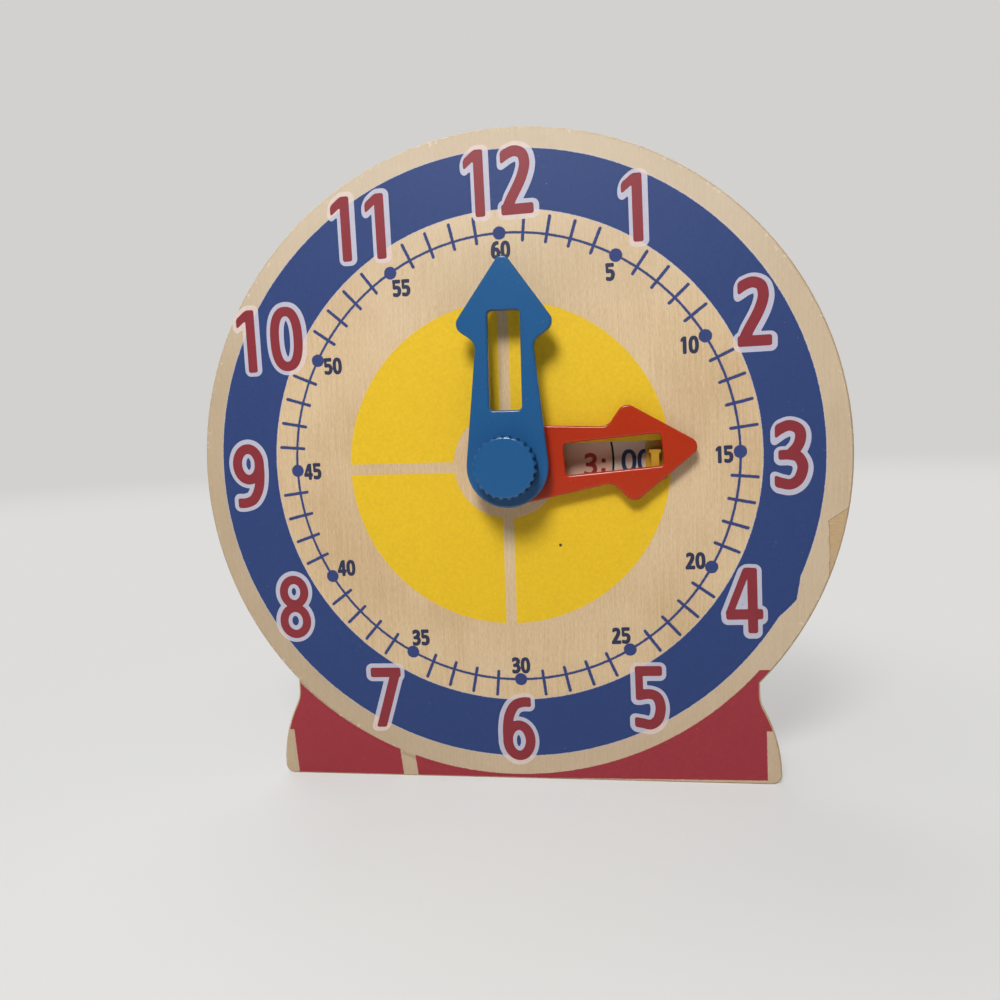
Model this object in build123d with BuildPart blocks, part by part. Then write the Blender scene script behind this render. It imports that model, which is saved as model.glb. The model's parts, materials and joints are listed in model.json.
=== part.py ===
"""Geared teaching clock: a plywood dial on a foot, two windowed hands and a digital display.

Millimetres, +Z up, the dial faces -Y. The origin is the middle of the underside of the foot.
Depths count backwards from the dial's front face, so what stands in front of it is negative.

How it works: the knob turns the minute shaft inside the hour tube. Behind the dial a compound
idler takes the motion from the pinion on the shaft to the hour wheel on the tube (1:12), and to
the minute disc (1:1), which runs free on the tube around the hour disc.
"""
from math import acos, asin, atan2, cos, pi, radians, sin, sqrt, tan
import os

from build123d import *

# ---------------------------------------------------------------- driving dimensions

# Dial board, one sheet of plywood with its foot
board_radius = 117.5
board_thickness = 6.5
board_edge = 0.6              # eased edge of the sheet
shaft_height = board_radius   # the disc just meets the underside of the foot
foot_half_width = 93.2
foot_corner = 3.5
foot_flare = 7.3              # how far each side of the foot stands out past the neck
neck_length = 4.3             # straight side below the disc
neck_radius = 11.0            # hollow of the flare; the bulge below it follows from it

# Display window in the board, at three o'clock
window_near = 18.6            # from the shaft to the inner end
window_far = 55.2
window_half_height = 7.0
window_corner = 2.0

# Shaft, tube and bush
shaft_radius = 2.5
shaft_chamfer = 0.4
tube_wall = 1.65
bush_wall = 1.75
bush_flange_radius = 9.0
bush_flange = 1.2
running_play = 0.05           # radial, where something turns
press_play = 0.01             # radial, where something is pressed or glued
side_play = 0.3               # between faces that move past each other
rest_play = 0.1               # loose seat of a fixed piece

# Hands
hand_thickness = 3.0
hand_edge = 0.7
hand_hub_radius = 14.3
hand_neck_half = 9.9
hand_window_near = 19.4
hand_window_far = 53.3
hand_window_half = 5.65
hand_window_corner = 1.4
hour_hand_height = 2.8        # from the dial to the underside of each hand
minute_hand_height = 10.2
hand_boss_radius = 7.0
hour_hand_angle = 85.7        # degrees clockwise from twelve
minute_hand_angle = 0.6
hour_tip = 67.5               # sharp points of the arrow outlines, before rounding
hour_barb = 41.9
hour_barb_half = 17.8
hour_neck = 35.4
hour_tip_rounding = 3.2
hour_barb_rounding = 3.6
minute_tip = 73.4
minute_barb = 48.3
minute_barb_half = 17.9
minute_neck = 42.7
minute_tip_rounding = 2.7
minute_barb_rounding = 3.6
neck_rounding = 4.5

# Knob
knob_radius = 10.8
knob_height = 7.8
knob_edge = 1.1
knob_flutes = 24
flute_radius = 0.95
flute_depth = 0.75
knob_bore_depth = 5.0

# Display discs and their printed labels
disc_gap = 0.8                # from the board to the labels
label_thickness = 0.3
disc_thickness = 2.0
disc_spacing = 0.6            # between the two discs, and beside the wheels
hour_disc_radius = 35.85
ring_gap = 0.7                # dark line between the discs
minute_disc_radius = 50.5
minute_rim = 1.5
label_margin = 0.2

# Gear train
module_size = 0.9
pressure_angle = radians(25)
tooth_play = 0.2              # along the pitch circle, shared by two gears in mesh
root_clearance = 0.25         # in modules
pinion_teeth = 15             # on the shaft and on the minute disc
idler_teeth = 45              # both idler wheels
idler_pinion_teeth = 12
hour_wheel_teeth = 48
idler_face = 3.8
hour_wheel_face = 3.0
arbor_radius = 2.0
spigot_radius = 3.4
wheel_web = 1.6               # thickness of the recessed web of a wheel
wheel_rim = 1.6               # ring left under the teeth
wheel_hub_radius = 7.0
wheel_hole_radius = 3.2
hour_wheel_holes = 6
idler_wheel_holes = 5
clip_radius = 3.1
clip_thickness = 0.7
clip_groove = 0.4
clip_recess_radius = 3.9
clip_recess = 1.3

# Gear housing and its cover
housing_wall = 2.0
housing_play = 0.8            # round the minute disc
flange_width = 2.2
flange_thickness = 1.6
ear_radius = 5.0
ear_thickness = 3.0
ear_angle = 45.0              # degrees to the first ear; the cover screws stand between the ears
column_radius = 3.9
root_overlap = 0.5            # how far ears and columns sink into the wall that carries them
cover_thickness = 2.0
cover_spigot = 1.5
cover_edge = 0.7
bearing_radius = 5.2
bearing_depth = 3.4
bearing_floor = 1.2
washer_radius = 6.4
washer_thickness = 0.6
plug_near = 47.7              # yellow end piece in the window
plug_front = 5.4
tee_front = 1.2
tee_centre = 50.9
tee_stem = 2.8
tee_bar = 4.1
tee_bar_height = 1.2
tee_top = 3.8
tee_bottom = -5.4

# Screws
screw_radius = 1.5
screw_head_radius = 2.9
screw_head_height = 1.8
screw_head_rounding = 1.0
screw_slot = 0.8
screw_slot_length = 3.2
screw_slot_depth = 0.9
board_screw_bite = 4.5
cover_screw_length = 11.0

# Card tray behind the foot
tray_width = 160.0
tray_depth = 41.5             # behind the board
tray_height = 40.0
tray_floor_thickness = 9.0
tray_wall = 6.0
tray_corner = 6.0
tray_edge = 1.0
thumb_notch_radius = 16.0
dowel_radius = 2.5
dowel_length = 16.0
dowel_bite = 4.5              # into the board
dowel_spacing = 40.0
dowel_count = 4
tray_screw_length = 18.0
tray_screw_inset = 12.0       # from the top of the side walls

# ---------------------------------------------------------------- dependent sizes

neck_half_width = foot_half_width - foot_flare
neck_height = shaft_height - sqrt(board_radius**2 - neck_half_width**2) - neck_length
foot_depth = board_thickness + tray_depth
front_y = -foot_depth / 2
tube_bore = shaft_radius + running_play
tube_radius = tube_bore + tube_wall
bush_bore = tube_radius + running_play
bush_radius = bush_bore + bush_wall

# The stack of depths, from the dial backwards
label_front = board_thickness + disc_gap
disc_front = label_front + label_thickness
hour_disc_back = disc_front + disc_thickness
web_front = hour_disc_back + disc_spacing
web_back = web_front + disc_thickness
idler_front = web_back + disc_spacing
front_wheel_back = idler_front + idler_face
hour_wheel_front = front_wheel_back + disc_spacing
hour_wheel_back = hour_wheel_front + hour_wheel_face
rear_wheel_front = hour_wheel_back + disc_spacing
rear_wheel_back = rear_wheel_front + idler_face
tube_back = rear_wheel_front - side_play
shaft_pinion_back = rear_wheel_back + disc_spacing
washer_front = shaft_pinion_back + 2 * rest_play
cover_front = washer_front + washer_thickness
cover_back = cover_front + cover_thickness
bearing_back = cover_back + bearing_depth
pin_back = bearing_back - bearing_floor

hour_hand_front = -(hour_hand_height + hand_thickness)
minute_hand_front = -(minute_hand_height + hand_thickness)
tube_front = hour_hand_front - rest_play
knob_front = minute_hand_front - knob_height
shaft_front = minute_hand_front - knob_bore_depth + side_play

ring_inner_radius = hour_disc_radius + ring_gap
housing_bore = minute_disc_radius + housing_play
housing_radius = housing_bore + housing_wall
ear_reach = housing_radius + flange_width + ear_radius - root_overlap
column_reach = housing_radius + column_radius - root_overlap
centre_distance = module_size * (pinion_teeth + idler_teeth) / 2
idler_x = -centre_distance    # the idler stands towards nine o'clock
disc_bore = tube_radius + running_play
clip_back = idler_front + clip_recess - side_play
arbor_front = clip_back - 2 * clip_thickness + rest_play

countersink_depth = screw_head_radius - screw_radius
dowel_up = tray_floor_thickness / 2 - shaft_height


# ---------------------------------------------------------------- planes and outlines

def dial_plane(depth, turn=0.0, across=0.0, up=0.0):
    """Plane parallel to the dial, facing the viewer, its Y axis turned clockwise from up."""
    angle = radians(turn)
    return Plane(
        origin=(across, front_y + depth, shaft_height + up),
        x_dir=(cos(angle), 0, -sin(angle)),
        z_dir=(0, -1, 0),
    )


def between(front, back):
    """Thickness of a slab from one depth to another."""
    return back - front


def root_radius_of(teeth):
    """Radius at the foot of the teeth."""
    return module_size * (teeth / 2 - 1 - root_clearance)


def half_pitch(teeth):
    """Half the angle from one tooth to the next, in degrees."""
    return 180 / teeth


def gear_outline(teeth):
    """Involute gear outline about the origin, with its first tooth on +X."""
    pitch_radius = module_size * teeth / 2
    base_radius = pitch_radius * cos(pressure_angle)
    tip_radius = pitch_radius + module_size
    root_radius = root_radius_of(teeth)
    flank_start = max(base_radius, root_radius)
    half_tooth = (pi * module_size / 2 - tooth_play / 2) / 2 / pitch_radius

    def involute(angle):
        return tan(angle) - angle

    def half_angle(radius):
        slope = acos(min(base_radius / radius, 1))
        return half_tooth + involute(pressure_angle) - involute(slope)

    def at(radius, angle):
        return (radius * cos(angle), radius * sin(angle))

    flank_radii = (flank_start, (flank_start + tip_radius) / 2, tip_radius)
    root_half_angle = half_angle(flank_start)
    with BuildSketch() as outline:
        with BuildLine():
            for tooth in range(teeth):
                middle = 2 * pi * tooth / teeth
                next_flank = middle + 2 * pi / teeth - root_half_angle
                rising = [at(r, middle - half_angle(r)) for r in flank_radii]
                falling = [at(r, middle + half_angle(r)) for r in reversed(flank_radii)]
                root = [at(root_radius, middle + root_half_angle), at(root_radius, next_flank)]
                ThreePointArc(*rising)
                Line(rising[-1], falling[0])
                ThreePointArc(*falling)
                if flank_start > root_radius:
                    Line(falling[-1], root[0])
                    Line(root[1], at(flank_start, next_flank))
                Line(*root)
        make_face()
    return outline.sketch


def hand_outline(tip, barb, barb_half, neck, tip_rounding, barb_rounding):
    """Arrow-shaped hand pointing along +Y from its hub, with its window."""
    slant = asin((hand_hub_radius - hand_neck_half) / neck)
    shoulder = (hand_hub_radius * cos(slant), hand_hub_radius * sin(slant))
    with BuildSketch() as outline:
        with BuildLine():
            Polyline(
                (0, tip), (barb_half, barb), (hand_neck_half, neck), shoulder,
                (-shoulder[0], shoulder[1]), (-hand_neck_half, neck), (-barb_half, barb),
                close=True,
            )
        make_face()
        fillet(outline.vertices().sort_by(Axis.Y)[-1], tip_rounding)
        by_side = outline.vertices().group_by(Axis.X)
        fillet(by_side[0] + by_side[-1], barb_rounding)
        fillet(outline.vertices().group_by(Axis.Y)[1], neck_rounding)
        Circle(hand_hub_radius)
        with Locations((0, (hand_window_near + hand_window_far) / 2)):
            RectangleRounded(
                2 * hand_window_half, hand_window_far - hand_window_near,
                hand_window_corner, mode=Mode.SUBTRACT,
            )
    return outline.sketch


def ring(outer, inner):
    """Flat ring about the origin."""
    with BuildSketch() as outline:
        Circle(outer)
        Circle(inner, mode=Mode.SUBTRACT)
    return outline.sketch


def spots(reach, radius, count, start=0.0):
    """Equal discs on a circle about the origin."""
    with BuildSketch() as outline:
        with PolarLocations(reach, count, start_angle=start):
            Circle(radius)
    return outline.sketch


def save(piece, name):
    """Label a finished piece and write its STEP file."""
    piece.part.label = name
    export_step(piece.part, f"parts/{name}.step")


os.makedirs("parts", exist_ok=True)

# ---------------------------------------------------------------- dial board

with BuildPart() as clock_board:
    drop = neck_height - foot_corner
    bend = 2 * atan2(foot_flare, drop)
    bulge_radius = drop / sin(bend) - neck_radius
    neck = (neck_half_width, neck_height - shaft_height)
    flare = (neck[0] + neck_radius * (1 - cos(bend)), neck[1] - neck_radius * sin(bend))
    foot_side = (foot_half_width, foot_corner - shaft_height)
    foot_under = (foot_half_width - foot_corner, -shaft_height)
    with BuildSketch(dial_plane(board_thickness)):
        with BuildLine():
            Line((0, -shaft_height), foot_under)
            RadiusArc(foot_under, foot_side, -foot_corner)
            RadiusArc(foot_side, flare, -bulge_radius)
            RadiusArc(flare, neck, neck_radius)
            Polyline(neck, (neck_half_width, 0), (0, 0))
            mirror(about=Plane.YZ)
        make_face()
        Circle(board_radius)
    extrude(amount=board_thickness)
    chamfer(faces().filter_by(Axis.Y).edges(), board_edge)
    with BuildSketch(dial_plane(board_thickness)):
        Circle(bush_radius + press_play)
        with Locations(((window_near + window_far) / 2, 0)):
            RectangleRounded(window_far - window_near, 2 * window_half_height, window_corner)
    extrude(amount=board_thickness, mode=Mode.SUBTRACT)
    with BuildSketch(dial_plane(board_thickness)):
        add(spots(ear_reach, screw_radius + press_play, 4, ear_angle))
    extrude(amount=board_screw_bite, mode=Mode.SUBTRACT)
    with BuildSketch(dial_plane(board_thickness, up=dowel_up)):
        with GridLocations(dowel_spacing, 0, dowel_count, 1):
            Circle(dowel_radius + press_play)
    extrude(amount=dowel_bite, mode=Mode.SUBTRACT)
save(clock_board, "clock_board")

with BuildPart() as tube_bush:
    with BuildSketch(dial_plane(board_thickness)):
        add(ring(bush_radius, bush_bore))
    extrude(amount=board_thickness)
    with BuildSketch(dial_plane(0)):
        add(ring(bush_flange_radius, bush_bore))
    extrude(amount=bush_flange)
save(tube_bush, "tube_bush")

# ---------------------------------------------------------------- hands, knob and shafts

with BuildPart() as hour_hand:
    with BuildSketch(dial_plane(-hour_hand_height, hour_hand_angle)):
        add(hand_outline(
            hour_tip, hour_barb, hour_barb_half, hour_neck, hour_tip_rounding, hour_barb_rounding,
        ))
    extrude(amount=hand_thickness)
    fillet(faces().sort_by(Axis.Y)[0].edges(), hand_edge)
    with BuildSketch(dial_plane(-hour_hand_height)):
        Circle(hand_boss_radius)
    extrude(amount=-(hour_hand_height - bush_flange - side_play))
    with BuildSketch(dial_plane(0)):
        Circle(tube_radius + press_play)
    extrude(amount=-hour_hand_front, mode=Mode.SUBTRACT)
save(hour_hand, "hour_hand")

with BuildPart() as minute_hand:
    with BuildSketch(dial_plane(-minute_hand_height, minute_hand_angle)):
        add(hand_outline(
            minute_tip, minute_barb, minute_barb_half, minute_neck,
            minute_tip_rounding, minute_barb_rounding,
        ))
    extrude(amount=hand_thickness)
    fillet(faces().sort_by(Axis.Y)[0].edges(), hand_edge)
    with BuildSketch(dial_plane(-minute_hand_height)):
        Circle(hand_boss_radius)
    extrude(amount=-between(-minute_hand_height, tube_front - side_play))
    with BuildSketch(dial_plane(tube_front)):
        Circle(shaft_radius + press_play)
    extrude(amount=between(minute_hand_front, tube_front), mode=Mode.SUBTRACT)
save(minute_hand, "minute_hand")

with BuildPart() as knob:
    with BuildSketch(dial_plane(minute_hand_front)):
        Circle(knob_radius)
    extrude(amount=knob_height)
    fillet(faces().sort_by(Axis.Y)[0].edges(), knob_edge)
    with BuildSketch(dial_plane(minute_hand_front)):
        add(spots(knob_radius - flute_depth + flute_radius, flute_radius, knob_flutes))
    extrude(amount=knob_height, mode=Mode.SUBTRACT)
    with BuildSketch(dial_plane(minute_hand_front)):
        Circle(shaft_radius + press_play)
    extrude(amount=knob_bore_depth, mode=Mode.SUBTRACT)
save(knob, "knob")

with BuildPart() as minute_shaft:
    with BuildSketch(dial_plane(pin_back - side_play)):
        Circle(shaft_radius)
    extrude(amount=between(shaft_front, pin_back - side_play))
    chamfer(edges().filter_by(GeomType.CIRCLE), shaft_chamfer)
save(minute_shaft, "minute_shaft")

with BuildPart() as minute_pinion:
    with BuildSketch(dial_plane(shaft_pinion_back, turn=180)):
        add(gear_outline(pinion_teeth))
        Circle(shaft_radius + press_play, mode=Mode.SUBTRACT)
    extrude(amount=between(rear_wheel_front, shaft_pinion_back))
save(minute_pinion, "minute_pinion")

with BuildPart() as hour_tube:
    with BuildSketch(dial_plane(tube_back)):
        add(ring(tube_radius, tube_bore))
    extrude(amount=between(tube_front, tube_back))
save(hour_tube, "hour_tube")

with BuildPart() as hour_wheel:
    with BuildSketch(dial_plane(hour_wheel_back)):
        add(gear_outline(hour_wheel_teeth))
    extrude(amount=hour_wheel_face)
    relief_radius = root_radius_of(hour_wheel_teeth) - wheel_rim
    relief = (hour_wheel_face - wheel_web) / 2
    with BuildSketch(dial_plane(hour_wheel_back)):
        add(ring(relief_radius, wheel_hub_radius))
    extrude(amount=relief, mode=Mode.SUBTRACT)
    with BuildSketch(dial_plane(hour_wheel_front)):
        add(ring(relief_radius, wheel_hub_radius))
    extrude(amount=-relief, mode=Mode.SUBTRACT)
    with BuildSketch(dial_plane(hour_wheel_back)):
        Circle(tube_radius + press_play)
        add(spots((relief_radius + wheel_hub_radius) / 2, wheel_hole_radius, hour_wheel_holes))
    extrude(amount=hour_wheel_face, mode=Mode.SUBTRACT)
save(hour_wheel, "hour_wheel")

# ---------------------------------------------------------------- display discs

with BuildPart() as hour_disc:
    with BuildSketch(dial_plane(hour_disc_back)):
        add(ring(hour_disc_radius, tube_radius + press_play))
    extrude(amount=disc_thickness)
save(hour_disc, "hour_disc")

with BuildPart() as hour_label:
    with BuildSketch(dial_plane(disc_front)):
        add(ring(hour_disc_radius - label_margin, hand_hub_radius))
    extrude(amount=label_thickness)
save(hour_label, "hour_label")

with BuildPart() as minute_disc:
    riser = ring_inner_radius + disc_thickness
    profile_plane = Plane(
        origin=(0, front_y, shaft_height), x_dir=(1, 0, 0), z_dir=(0, 0, 1),
    )
    with BuildSketch(profile_plane):
        with BuildLine():
            Polyline(
                (ring_inner_radius, disc_front), (minute_disc_radius, disc_front),
                (minute_disc_radius, web_back), (minute_disc_radius - minute_rim, web_back),
                (minute_disc_radius - minute_rim, hour_disc_back), (riser, hour_disc_back),
                (riser, web_back), (disc_bore, web_back), (disc_bore, web_front),
                (ring_inner_radius, web_front), close=True,
            )
        make_face()
    revolve(axis=Axis((0, 0, shaft_height), (0, 1, 0)))
    with BuildSketch(dial_plane(front_wheel_back, turn=180)):
        add(gear_outline(pinion_teeth))
        Circle(disc_bore, mode=Mode.SUBTRACT)
    extrude(amount=between(web_back, front_wheel_back))
save(minute_disc, "minute_disc")

with BuildPart() as minute_label:
    with BuildSketch(dial_plane(disc_front)):
        add(ring(minute_disc_radius - label_margin, ring_inner_radius + label_margin))
    extrude(amount=label_thickness)
save(minute_label, "minute_label")

# ---------------------------------------------------------------- idler

with BuildPart() as idler_pinion:
    phase = half_pitch(idler_pinion_teeth)
    with BuildSketch(dial_plane(rear_wheel_front, turn=phase, across=idler_x)):
        add(gear_outline(idler_pinion_teeth))
    extrude(amount=between(front_wheel_back, rear_wheel_front))
    with BuildSketch(dial_plane(rear_wheel_back, across=idler_x)):
        Circle(spigot_radius)
    extrude(amount=between(idler_front + clip_recess, rear_wheel_back))
    with BuildSketch(dial_plane(rear_wheel_back, across=idler_x)):
        Circle(arbor_radius + running_play)
    extrude(amount=between(idler_front, rear_wheel_back), mode=Mode.SUBTRACT)
save(idler_pinion, "idler_pinion")


def idler_wheel(front, back):
    """One of the two equal wheels pressed on the idler pinion's spigots."""
    relief_radius = root_radius_of(idler_teeth) - wheel_rim
    relief = (between(front, back) - wheel_web) / 2
    with BuildPart() as wheel:
        with BuildSketch(dial_plane(back, turn=half_pitch(idler_teeth), across=idler_x)):
            add(gear_outline(idler_teeth))
        extrude(amount=between(front, back))
        with BuildSketch(dial_plane(back, across=idler_x)):
            add(ring(relief_radius, wheel_hub_radius))
        extrude(amount=relief, mode=Mode.SUBTRACT)
        with BuildSketch(dial_plane(front, across=idler_x)):
            add(ring(relief_radius, wheel_hub_radius))
        extrude(amount=-relief, mode=Mode.SUBTRACT)
        with BuildSketch(dial_plane(back, across=idler_x)):
            Circle(spigot_radius + press_play)
            add(spots((relief_radius + wheel_hub_radius) / 2, wheel_hole_radius, idler_wheel_holes))
        extrude(amount=between(front, back), mode=Mode.SUBTRACT)
    return wheel


idler_rear_wheel = idler_wheel(rear_wheel_front, rear_wheel_back)
save(idler_rear_wheel, "idler_rear_wheel")

with BuildPart() as idler_front_wheel:
    add(idler_wheel(idler_front, front_wheel_back).part)
    with BuildSketch(dial_plane(idler_front, across=idler_x)):
        Circle(clip_recess_radius)
    extrude(amount=-clip_recess, mode=Mode.SUBTRACT)
save(idler_front_wheel, "idler_front_wheel")

with BuildPart() as idler_arbor:
    with BuildSketch(dial_plane(pin_back, across=idler_x)):
        Circle(arbor_radius)
    extrude(amount=between(arbor_front, pin_back))
    with BuildSketch(dial_plane(clip_back, across=idler_x)):
        add(ring(arbor_radius, arbor_radius - clip_groove))
    extrude(amount=clip_thickness, mode=Mode.SUBTRACT)
save(idler_arbor, "idler_arbor")

with BuildPart() as idler_clip:
    with BuildSketch(dial_plane(clip_back, across=idler_x)):
        Circle(clip_radius)
        Circle(arbor_radius - clip_groove, mode=Mode.SUBTRACT)
        with Locations((0, clip_radius / 2)):
            Rectangle(2 * (arbor_radius - clip_groove), clip_radius, mode=Mode.SUBTRACT)
    extrude(amount=clip_thickness)
save(idler_clip, "idler_clip")

# ---------------------------------------------------------------- gear housing and cover

with BuildPart() as gear_housing:
    with BuildSketch(dial_plane(cover_front)):
        Circle(housing_radius)
        add(spots(column_reach, column_radius, 4))
    extrude(amount=between(board_thickness, cover_front))
    with BuildSketch(dial_plane(board_thickness + flange_thickness)):
        Circle(housing_radius + flange_width)
    extrude(amount=flange_thickness)
    with BuildSketch(dial_plane(board_thickness + ear_thickness)):
        add(spots(ear_reach, ear_radius, 4, ear_angle))
    extrude(amount=ear_thickness)
    with BuildSketch(dial_plane(cover_front)):
        Circle(housing_bore)
    extrude(amount=between(board_thickness, cover_front), mode=Mode.SUBTRACT)
    with BuildSketch(dial_plane(board_thickness + ear_thickness)):
        add(spots(ear_reach, screw_radius + press_play, 4, ear_angle))
    extrude(amount=ear_thickness, mode=Mode.SUBTRACT)
    with BuildSketch(dial_plane(cover_front)):
        add(spots(column_reach, screw_radius + press_play, 4))
    extrude(amount=cover_screw_length, mode=Mode.SUBTRACT)
    # end piece that stands in the window, with its raised T
    plug_far = window_far - side_play
    with BuildSketch(dial_plane(label_front - side_play)):
        with Locations(((plug_near + plug_far) / 2, 0)):
            RectangleRounded(
                plug_far - plug_near, 2 * (window_half_height - side_play), window_corner,
            )
    extrude(amount=between(plug_front, label_front - side_play))
    with BuildSketch(dial_plane(plug_front)):
        with Locations((tee_centre, (tee_top + tee_bottom) / 2)):
            Rectangle(tee_stem, tee_top - tee_bottom)
        with Locations((tee_centre, tee_top - tee_bar_height / 2)):
            Rectangle(tee_bar, tee_bar_height)
    extrude(amount=between(tee_front, plug_front))
save(gear_housing, "gear_housing")

with BuildPart() as rear_cover:
    with BuildSketch(dial_plane(cover_back)):
        Circle(housing_radius)
        add(spots(column_reach, column_radius, 4))
    extrude(amount=cover_thickness)
    fillet(faces().sort_by(Axis.Y)[-1].edges(), cover_edge)
    with BuildSketch(dial_plane(cover_front)):
        add(ring(housing_bore - rest_play, housing_bore - rest_play - cover_thickness))
    extrude(amount=cover_spigot)
    with BuildSketch(dial_plane(bearing_back)):
        Circle(bearing_radius)
        with Locations((idler_x, 0)):
            Circle(bearing_radius)
    extrude(amount=between(cover_front, bearing_back))
    with BuildSketch(dial_plane(cover_front)):
        Circle(shaft_radius + running_play)
        with Locations((idler_x, 0)):
            Circle(arbor_radius + press_play)
    extrude(amount=-between(cover_front, pin_back), mode=Mode.SUBTRACT)
    with BuildSketch(dial_plane(cover_back)):
        add(spots(column_reach, screw_radius + rest_play, 4))
    extrude(amount=cover_thickness, mode=Mode.SUBTRACT)
save(rear_cover, "rear_cover")

with BuildPart() as friction_washer:
    with BuildSketch(dial_plane(cover_front)):
        add(ring(washer_radius, shaft_radius + rest_play))
    extrude(amount=washer_thickness)
save(friction_washer, "friction_washer")


def pan_screws(seat, length, reach, start):
    """Four screws on a circle, their heads standing behind the seat."""
    with BuildPart() as screws:
        with BuildSketch(dial_plane(seat + screw_head_height)):
            add(spots(reach, screw_head_radius, 4, start))
        extrude(amount=screw_head_height)
        fillet(faces().group_by(Axis.Y)[-1].edges(), screw_head_rounding)
        with BuildSketch(dial_plane(seat + screw_head_height)):
            with PolarLocations(reach, 4, start_angle=start):
                Rectangle(screw_slot_length, screw_slot)
                Rectangle(screw_slot, screw_slot_length)
        extrude(amount=screw_slot_depth, mode=Mode.SUBTRACT)
        with BuildSketch(dial_plane(seat)):
            add(spots(reach, screw_radius, 4, start))
        extrude(amount=length)
    return screws


housing_screws = pan_screws(
    board_thickness + ear_thickness, ear_thickness + board_screw_bite, ear_reach, ear_angle,
)
save(housing_screws, "housing_screws")

cover_screws = pan_screws(cover_back, cover_screw_length, column_reach, 0)
save(cover_screws, "cover_screws")

# ---------------------------------------------------------------- card tray

tray_front_y = front_y + board_thickness
screw_height = tray_height - tray_screw_inset
wall_middle = (tray_width - tray_wall) / 2
wall_height = tray_height - tray_floor_thickness
side_depth = tray_depth - tray_wall
tray_back_plane = Plane(
    origin=(0, front_y + foot_depth, 0), x_dir=(-1, 0, 0), z_dir=(0, 1, 0),
)
tray_screw_places = [(-wall_middle, screw_height), (wall_middle, screw_height)]
with BuildPart() as tray_floor:
    with BuildSketch():
        with Locations((0, tray_front_y + tray_depth / 2)):
            Rectangle(tray_width, tray_depth)
    extrude(amount=tray_floor_thickness)
    fillet(edges().filter_by(Axis.Z).group_by(Axis.Y)[-1], tray_corner / 2)
    with BuildSketch(dial_plane(board_thickness, up=dowel_up)):
        with GridLocations(dowel_spacing, 0, dowel_count, 1):
            Circle(dowel_radius + press_play)
    extrude(amount=-(dowel_length - dowel_bite), mode=Mode.SUBTRACT)
save(tray_floor, "tray_floor")


def tray_side(middle_x):
    """Side wall of the tray, standing on the floor between the board and the tray's back."""
    with BuildPart() as side:
        with BuildSketch(Plane.XY.offset(tray_floor_thickness)):
            with Locations((middle_x, tray_front_y + side_depth / 2)):
                Rectangle(tray_wall, side_depth)
        extrude(amount=wall_height)
        fillet(edges().filter_by(Axis.Y).group_by(Axis.Z)[-1], tray_edge)
        with BuildSketch(tray_back_plane):
            with Locations((-middle_x, screw_height)):
                Circle(screw_radius + press_play)
        extrude(amount=-tray_screw_length, mode=Mode.SUBTRACT)
    return side


tray_left_side = tray_side(-wall_middle)
save(tray_left_side, "tray_left_side")
tray_right_side = tray_side(wall_middle)
save(tray_right_side, "tray_right_side")

with BuildPart() as tray_back:
    with BuildSketch(tray_back_plane):
        with Locations((0, tray_floor_thickness + wall_height / 2)):
            Rectangle(tray_width, wall_height)
        fillet(vertices().group_by(Axis.Y)[-1], tray_corner)
        with Locations((0, tray_height)):
            Circle(thumb_notch_radius, mode=Mode.SUBTRACT)
    extrude(amount=-tray_wall)
    fillet(faces().filter_by(Axis.Y).edges().group_by(Axis.Z)[-1], tray_edge)
    with Locations(tray_back_plane):
        with Locations(*tray_screw_places):
            CounterSinkHole(
                screw_radius + press_play, screw_head_radius + press_play,
                depth=tray_wall, counter_sink_angle=90,
            )
save(tray_back, "tray_back")

with BuildPart() as tray_screws:
    with BuildSketch(tray_back_plane):
        with Locations(*tray_screw_places):
            Circle(screw_radius)
    extrude(amount=-tray_screw_length)
    with BuildSketch(tray_back_plane):
        with Locations(*tray_screw_places):
            Circle(screw_head_radius)
    extrude(amount=-countersink_depth, taper=45)
    with BuildSketch(tray_back_plane):
        with Locations(*tray_screw_places):
            Rectangle(screw_slot_length, screw_slot)
            Rectangle(screw_slot, screw_slot_length)
    extrude(amount=-screw_slot_depth, mode=Mode.SUBTRACT)
save(tray_screws, "tray_screws")

with BuildPart() as tray_dowels:
    with BuildSketch(dial_plane(board_thickness - dowel_bite, up=dowel_up)):
        with GridLocations(dowel_spacing, 0, dowel_count, 1):
            Circle(dowel_radius)
    extrude(amount=-(dowel_length - rest_play))
save(tray_dowels, "tray_dowels")
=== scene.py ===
import json
import math

import bmesh
import bpy
import numpy as np
from mathutils import Matrix, Vector


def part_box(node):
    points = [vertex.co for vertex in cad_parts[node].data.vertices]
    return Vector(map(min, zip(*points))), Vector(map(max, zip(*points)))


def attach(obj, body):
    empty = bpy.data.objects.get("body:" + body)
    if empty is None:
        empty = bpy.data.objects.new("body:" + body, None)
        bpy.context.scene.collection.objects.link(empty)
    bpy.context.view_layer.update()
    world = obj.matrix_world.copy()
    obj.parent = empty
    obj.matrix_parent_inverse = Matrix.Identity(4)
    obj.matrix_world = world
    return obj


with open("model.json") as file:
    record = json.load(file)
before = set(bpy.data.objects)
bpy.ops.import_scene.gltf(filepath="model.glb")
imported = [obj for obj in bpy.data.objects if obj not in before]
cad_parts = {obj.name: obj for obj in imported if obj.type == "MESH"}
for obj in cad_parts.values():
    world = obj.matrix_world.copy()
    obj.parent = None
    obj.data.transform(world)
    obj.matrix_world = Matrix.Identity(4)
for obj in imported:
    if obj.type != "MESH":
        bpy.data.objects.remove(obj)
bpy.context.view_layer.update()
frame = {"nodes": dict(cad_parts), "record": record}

mm = 0.001                                   # sizes are millimetres below, and angles degrees
shaft = Vector((0.0, 117.5))                 # the hands' axis, across and up
faceY = -24.0                                # front face of the board
dullShine = 0.25                             # wood, ink and film; gloss is 0.5
print("frame loaded:", len(frame["nodes"]), "pieces")


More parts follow.
